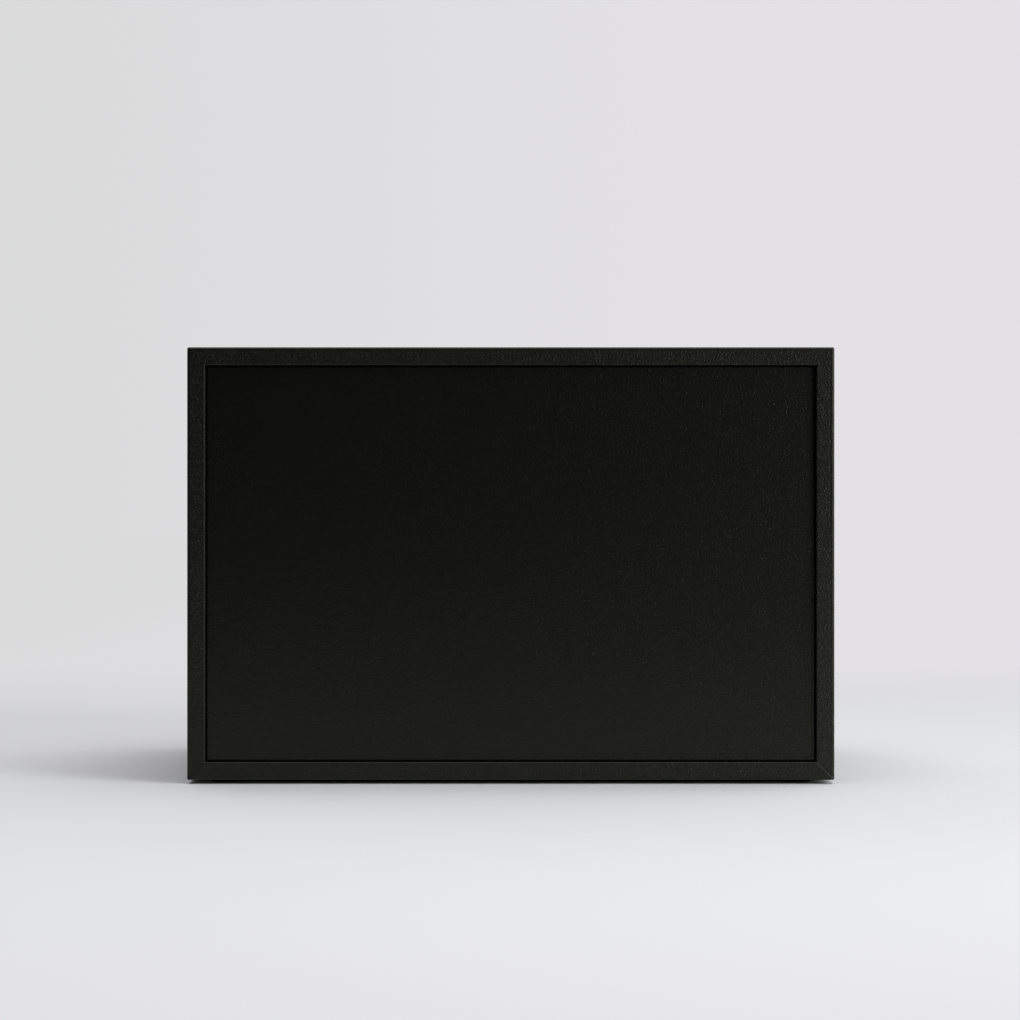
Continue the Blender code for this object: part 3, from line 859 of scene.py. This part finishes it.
@dataclass(frozen=True)
class KnobSizes:
    """A turned knob: a dished face, a rounded head, a waisted neck and a thin foot."""

    dish: tuple[tuple[float, float], ...] = (
        (0.0, 1.2 * MM), (2.0 * MM, 1.12 * MM), (3.8 * MM, 0.86 * MM), (5.3 * MM, 0.42 * MM))
    lip_radius: float = 6.1 * MM
    lip_round: float = 0.35 * MM
    head_radius: float = 7.5 * MM
    head_length: float = 6.7 * MM
    face_round: float = 1.0 * MM
    back_round: float = 0.8 * MM
    waist_middle: float = 5.6 * MM
    waist_round: float = 1.9 * MM
    waist_heights: tuple[float, float] = (6.0 * MM, 3.7 * MM)
    foot_radius: float = 5.5 * MM
    foot_height: float = 1.1 * MM
    foot_round: float = 0.4 * MM
    foot_edge: tuple[float, float] = (5.3 * MM, 0.3 * MM)
    bore_depth: float = 9.0 * MM
    segments: int = 72

    def section(self, length: float, bore: float) -> list[tuple[float, float]]:
        """The knob's half section, from the middle of its face to the bottom of its bore.

        Args:
            length: The knob's length.
            bore: Its bore's radius.

        Returns:
            The points as (radius, height above the foot).
        """
        upper, lower = self.waist_heights
        foot_edge_radius, foot_edge_height = self.foot_edge
        return [
            *((radius, length - depth) for radius, depth in self.dish),
            *arc((self.lip_radius, length - self.lip_round), self.lip_round, 135, 70, 3),
            *arc((self.head_radius - self.face_round, length - self.face_round),
                 self.face_round, 75, 0, 6),
            *arc((self.head_radius - self.back_round, length - self.head_length),
                 self.back_round, 0, -80, 5),
            *arc((self.waist_middle, upper), self.waist_round, 100, 180, 6),
            *arc((self.waist_middle, lower), self.waist_round, 180, 265, 6),
            *arc((self.foot_radius - self.foot_round, self.foot_height), self.foot_round, 80, 0, 3),
            (self.foot_radius, foot_edge_height),
            (foot_edge_radius, 0.0),
            (bore, 0.0),
            (bore, self.bore_depth),
            (0.0, self.bore_depth),
        ]


@dataclass(frozen=True)
class ScrewSizes:
    """A pan-head machine screw with a cross recess."""

    head_height: float = 2.2 * MM
    head_radius: float = 4.0 * MM
    head_round: float = 1.4 * MM
    crown: tuple[float, float] = (1.6 * MM, 0.05 * MM)
    brim: float = 0.15 * MM
    shank_radius: float = 2.0 * MM
    tip: float = 0.4 * MM
    segments: int = 48
    recess_length: float = 3.6 * MM
    recess_width: float = 0.85 * MM
    recess_depth: float = 1.3 * MM
    recess_taper: float = 0.45

    def section(self, shank: float) -> list[tuple[float, float]]:
        """The screw's half section, from the middle of its head to its tip.

        Args:
            shank: The shank's length.

        Returns:
            The points as (radius, height above the head's bearing face).
        """
        crown_radius, crown_drop = self.crown
        return [
            (0.0, self.head_height),
            (crown_radius, self.head_height - crown_drop),
            *arc((self.head_radius - self.head_round, self.head_height - self.head_round),
                 self.head_round, 75, 0, 6),
            (self.head_radius, self.brim),
            (self.head_radius - self.brim, 0.0),
            (self.shank_radius, 0.0),
            (self.shank_radius, self.tip - shank),
            (self.shank_radius - self.tip, -shank),
            (0.0, -shank),
        ]


@dataclass
class Drawer:
    """One drawer: a covered front, a lined tray, and a turned knob held by a screw."""

    body: Body
    leatherette: bpy.types.Material
    board: bpy.types.Material
    lined: bpy.types.Material
    flock: bpy.types.Material
    nodes: dict[str, bpy.types.Object]
    hole_radius: float = 2.3 * MM
    covering: Covering = field(default_factory=Covering)
    knob: KnobSizes = KnobSizes()
    screw: ScrewSizes = ScrewSizes()

    def build_front(self) -> None:
        """The sheet over the drawer's front, with the hole for the knob's screw."""
        node = f"{self.body.value}_front_cover"
        low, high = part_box(node)
        shape = panel_shape(low, high, -1, self.covering, self.hole_radius)
        cover = new_piece(f"{self.body.value}_front_covering", shape, self.leatherette, self.body,
                          [node])
        add_thickness(cover, self.covering.thickness)
        dress(self.nodes[f"{self.body.value}_front_board"], self.board)

    def build_knob(self) -> None:
        """The knob, turned from one rod."""
        node = f"{self.body.value}_knob"
        low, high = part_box(node)
        foot = Vector((0, high.y, (low.z + high.z) / 2))
        section = self.knob.section(high.y - low.y, self.hole_radius)
        shape = turned_shape(section, foot, -1, self.knob.segments)
        finish = TurnedMetal(f"{self.body.value}_knob_satin_nickel", foot.z).make()
        new_piece(f"{self.body.value}_turned_knob", shape, finish, self.body, [node])

    def build_screw(self) -> None:
        """The screw, whose pan head has a cross recess."""
        node = f"{self.body.value}_knob_screw"
        low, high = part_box(node)
        bearing = Vector((0, high.y - self.screw.head_height, (low.z + high.z) / 2))
        section = self.screw.section(bearing.y - low.y)
        shape = turned_shape(section, bearing, 1, self.screw.segments)
        finish = TurnedMetal(f"{self.body.value}_screw_zinc_plated_steel", bearing.z,
                             "#9a9da1", "#b6b9bd", 0.33).make()
        piece = new_piece(f"{self.body.value}_pan_screw", shape, finish, self.body,
                          [node])
        cut_recess(piece, bearing + Vector((0, self.screw.head_height, 0)), self.screw)

    def dress_tray(self) -> None:
        """The tray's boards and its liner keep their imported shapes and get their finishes."""
        for part in ("front_wall", "left_side", "right_side", "rear_wall", "bottom"):
            dress(self.nodes[f"{self.body.value}_{part}"], self.lined)
        dress(self.nodes[f"{self.body.value}_liner"], self.flock)

    def build(self) -> None:
        """Builds and dresses the whole drawer."""
        self.build_front()
        self.build_knob()
        self.build_screw()
        self.dress_tray()


def cut_recess(piece: bpy.types.Object, top: Vector, screw: ScrewSizes) -> None:
    """Cuts a cross recess into a screw's head, and applies the cut to its mesh.

    Args:
        piece: The screw.
        top: The middle of its head's top, which looks along Y.
        screw: The screw's sizes.
    """
    cutter_shape = bmesh.new()
    long, wide = screw.recess_length, screw.recess_width
    for across, upright in ((long, wide), (wide, long)):
        for vert in bmesh.ops.create_cube(cutter_shape, size=1.0)["verts"]:
            narrow = screw.recess_taper if vert.co.y < 0 else 1.0
            vert.co = top + Vector((vert.co.x * across * narrow,
                                    vert.co.y * 2 * screw.recess_depth,
                                    vert.co.z * upright * narrow))
    mesh = bpy.data.meshes.new("recess_cutter")
    cutter_shape.to_mesh(mesh)
    cutter_shape.free()
    cutter = bpy.data.objects.new("recess_cutter", mesh)
    bpy.context.scene.collection.objects.link(cutter)
    cut = piece.modifiers.new("Recess", "BOOLEAN")
    cut.operation = "DIFFERENCE"
    cut.solver = "EXACT"
    cut.use_self = True
    cut.object = cutter
    settle(piece)
    bpy.data.objects.remove(cutter)


@dataclass
class Studio:
    """The pale sweep under and behind the object, its soft light, and the camera."""

    eye: Vector = field(default_factory=lambda: Vector((0.0004, 1.7316, 0.1439)))
    focal_pixels: float = 3048.2
    sensor: float = 36.0
    sight: float = 100.0
    floor_reach: float = 14.0
    floor_drop: float = 0.02 * MM
    floor_colour: str = "#f1f1f4"
    # Painted shade: past dim_from on the camera's side, the floor takes this dark tone for every
    # ray but the camera's.
    floor_shade: str = "#303030"
    dim_from: float = 0.35
    dim_to: float = 0.55
    # The backdrop's tone is painted light: paler and bluer towards -X, the key's side.
    wall_left: str = "#dbdbdc"
    wall_right: str = "#e3e1e6"
    wall_spread: tuple[float, float] = (0.17, -0.10)
    floor_spread: tuple[float, float] = (0.7, -0.4)
    blend_near: float = 0.5
    blend_far: float = 1.2
    room_tint: str = "#fafafb"
    room_base: float = 0.03
    room_above: float = 2.3
    room_top: tuple[float, float, float] = (-0.08, 0.08, 0.994)
    room_back: tuple[float, float, float] = (-0.25, -0.968, 0.0)
    room_behind: float = 0.7
    top_edge: tuple[float, float] = (0.8, 0.95)
    back_edge: tuple[float, float] = (0.2, 0.5)
    backdrop_edge: tuple[float, float] = (0.2, -0.2)
    key_place: Vector = field(default_factory=lambda: Vector((-1.6, 1.3, 0.7)))
    key_aim: Vector = field(default_factory=lambda: Vector((0, 0, 0.1)))
    key_size: float = 1.1
    key_power: float = 24.0
    key_colour: tuple[float, float, float] = (0.97, 0.99, 1.0)

    def build_camera(self) -> None:
        """A level camera behind the object, whose frame is the photograph's."""
        data = bpy.data.cameras.new("camera")
        data.sensor_width = self.sensor
        data.lens = self.focal_pixels * self.sensor / FRAME_PIXELS
        data.clip_end = self.sight
        camera = bpy.data.objects.new("camera", data)
        camera.location = self.eye
        camera.rotation_euler = (math.radians(90), 0.0, math.radians(180))
        bpy.context.scene.collection.objects.link(camera)
        bpy.context.scene.camera = camera

    def backdrop_share(
        self, tree: bpy.types.NodeTree, reflected: bpy.types.NodeSocket
    ) -> bpy.types.NodeSocket:
        """How far a ray sees the backdrop: always to the eye, by its place in a reflection.

        Args:
            tree: The floor's or the world's node tree.
            reflected: The share that glossy rays see.

        Returns:
            The share as a socket.
        """
        path = add_node(tree, "LightPath")
        direct = add_node(tree, "Math", {"operation": "MAXIMUM"}, {
            0: path.outputs["Is Camera Ray"], 1: path.outputs["Is Transmission Ray"]})
        mirrored = add_node(tree, "Math", PRODUCT, {
            0: path.outputs["Is Glossy Ray"], 1: reflected})
        return add_node(tree, "Math", {"operation": "MAXIMUM"}, {
            0: direct, 1: mirrored}).outputs["Value"]

    def floor_finish(self) -> bpy.types.Material:
        """Matt painted board that keeps the object's shadow and, far out, takes the wall's tone. On
        the camera's side it is painted dark to every ray but the camera's: painted shade, for a dim
        side of the room.
        """
        material, tree = empty_material("matt_white_sweep")
        place = add_node(tree, "TexCoord").outputs["Object"]
        reach = add_node(tree, "VectorMath", {"operation": "LENGTH"}, {0: place})
        far = add_node(tree, "MapRange", SMOOTH_RAMP, {
            "Value": reach.outputs["Value"], "From Min": self.blend_near,
            "From Max": self.blend_far})
        side = add_node(tree, "SeparateXYZ", inputs={"Vector": place})
        # Painted shade: beyond dim_from on the camera's side, the floor turns dark to all rays but
        # the camera's.
        dim_side = add_node(tree, "MapRange", SMOOTH_RAMP, {
            "Value": side.outputs["Y"], "From Min": self.dim_from, "From Max": self.dim_to})
        near_side = add_node(tree, "Math", {"operation": "SUBTRACT"}, {0: 1.0, 1: dim_side})
        seen = self.backdrop_share(tree, near_side.outputs["Value"])
        shown = add_node(tree, "Math", PRODUCT, {0: seen, 1: far})
        unseen = add_node(tree, "Math", {"operation": "SUBTRACT"}, {0: 1.0, 1: seen})
        dim = add_node(tree, "Math", PRODUCT, {0: dim_side, 1: unseen})
        floor_tone = add_node(tree, "Mix", COLOUR_MIX, {
            "Factor": dim, 6: linear_colour(self.floor_colour),
            7: linear_colour(self.floor_shade)})
        paint = add_node(tree, "BsdfDiffuse", inputs={"Color": floor_tone.outputs[2]})
        # Painted light: far out, the floor's glow is paler and bluer towards -X, the key's side.
        across = add_node(tree, "MapRange", SMOOTH_RAMP, {
            "Value": side.outputs["X"], "From Min": self.floor_spread[0],
            "From Max": self.floor_spread[1]})
        tone = add_node(tree, "Mix", COLOUR_MIX, {
            "Factor": across, 6: linear_colour(self.wall_left), 7: linear_colour(self.wall_right)})
        glow = add_node(tree, "Emission", inputs={"Color": tone.outputs[2]})
        both = add_node(tree, "MixShader", inputs={
            "Fac": shown, 1: paint.outputs["BSDF"], 2: glow.outputs["Emission"]})
        put_out(tree, both.outputs["Shader"])
        return material

    def build_floor(self) -> None:
        """A wide flat floor."""
        shape = bmesh.new()
        bmesh.ops.create_grid(shape, x_segments=1, y_segments=1, size=self.floor_reach)
        bmesh.ops.translate(shape, vec=(0, 0, -self.floor_drop), verts=shape.verts)
        mesh = bpy.data.meshes.new("floor")
        shape.to_mesh(mesh)
        shape.free()
        mesh.materials.append(self.floor_finish())
        floor = bpy.data.objects.new("floor", mesh)
        bpy.context.scene.collection.objects.link(floor)

    def build_world(self) -> None:
        """What is seen beyond the floor, what gloss reflects, and the soft light from all round."""
        world = bpy.data.worlds.new("pale_studio")
        bpy.context.scene.world = world
        world.use_nodes = True
        tree = world.node_tree
        tree.nodes.clear()
        way = add_node(tree, "TexCoord").outputs["Generated"]
        parts = add_node(tree, "SeparateXYZ", inputs={"Vector": way})
        # Painted light: the backdrop is paler and bluer towards -X, the key's side.
        across = add_node(tree, "MapRange", SMOOTH_RAMP, {
            "Value": parts.outputs["X"], "From Min": self.wall_spread[0],
            "From Max": self.wall_spread[1]})
        wall = add_node(tree, "Mix", COLOUR_MIX, {
            "Factor": across, 6: linear_colour(self.wall_left), 7: linear_colour(self.wall_right)})
        behind = add_node(tree, "VectorMath", {"operation": "DOT_PRODUCT"}, {
            0: way, 1: self.room_back})
        backward = add_node(tree, "MapRange", SMOOTH_RAMP, {
            "Value": behind.outputs["Value"], "From Min": self.back_edge[0],
            "From Max": self.back_edge[1], "To Min": self.room_base, "To Max": self.room_behind})
        overhead = add_node(tree, "VectorMath", {"operation": "DOT_PRODUCT"}, {
            0: way, 1: self.room_top})
        upward = add_node(tree, "MapRange", SMOOTH_RAMP, {
            "Value": overhead.outputs["Value"], "From Min": self.top_edge[0],
            "From Max": self.top_edge[1], "To Max": self.room_above})
        room = add_node(tree, "Math", {"operation": "ADD"}, {0: backward, 1: upward})
        beyond = add_node(tree, "MapRange", SMOOTH_RAMP, {
            "Value": parts.outputs["Y"], "From Min": self.backdrop_edge[0],
            "From Max": self.backdrop_edge[1]})
        seen = self.backdrop_share(tree, beyond.outputs["Result"])
        light = add_node(tree, "Background", inputs={
            "Color": linear_colour(self.room_tint), "Strength": room})
        backdrop = add_node(tree, "Background", inputs={"Color": wall.outputs[2]})
        both = add_node(tree, "MixShader", inputs={
            "Fac": seen, 1: light.outputs["Background"], 2: backdrop.outputs["Background"]})
        add_node(tree, "OutputWorld", inputs={"Surface": both.outputs["Shader"]})

    def build_key(self) -> None:
        """A square soft light to one side, which the camera doesn't see."""
        data = bpy.data.lights.new("key_panel", "AREA")
        data.shape = "SQUARE"
        data.size = self.key_size
        data.energy = self.key_power
        data.color = self.key_colour
        lamp = bpy.data.objects.new("key_panel", data)
        lamp.location = self.key_place
        lamp.rotation_mode = "QUATERNION"
        lamp.rotation_quaternion = (self.key_aim - self.key_place).to_track_quat("-Z", "Y")
        lamp.visible_camera = False
        bpy.context.scene.collection.objects.link(lamp)

    def build(self) -> None:
        """Sets the stage."""
        self.build_camera()
        self.build_floor()
        self.build_world()
        self.build_key()
        bpy.context.scene.view_settings.view_transform = "Standard"


def main() -> None:
    """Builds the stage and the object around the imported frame."""
    logging.basicConfig(level=logging.INFO, format="%(name)s: %(message)s")
    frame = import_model()
    nodes = frame["nodes"]
    Studio().build()
    leatherette = Leatherette().make()
    board = PaperedFibreboard().make()
    lined = FlockedPaper("flock_papered_board", fibre_size=0.7 * MM, sheen=0.08).make()
    flock = FlockedPaper("flocked_liner_card").make()
    foam = FoamRubber().make()
    Case(leatherette, board, lined, flock, foam, nodes).build()
    BackPanel(leatherette, board, nodes).build()
    for body in (Body.LOWER, Body.MIDDLE, Body.UPPER):
        Drawer(body, leatherette, board, lined, flock, nodes).build()


if __name__ == "__main__":
    main()
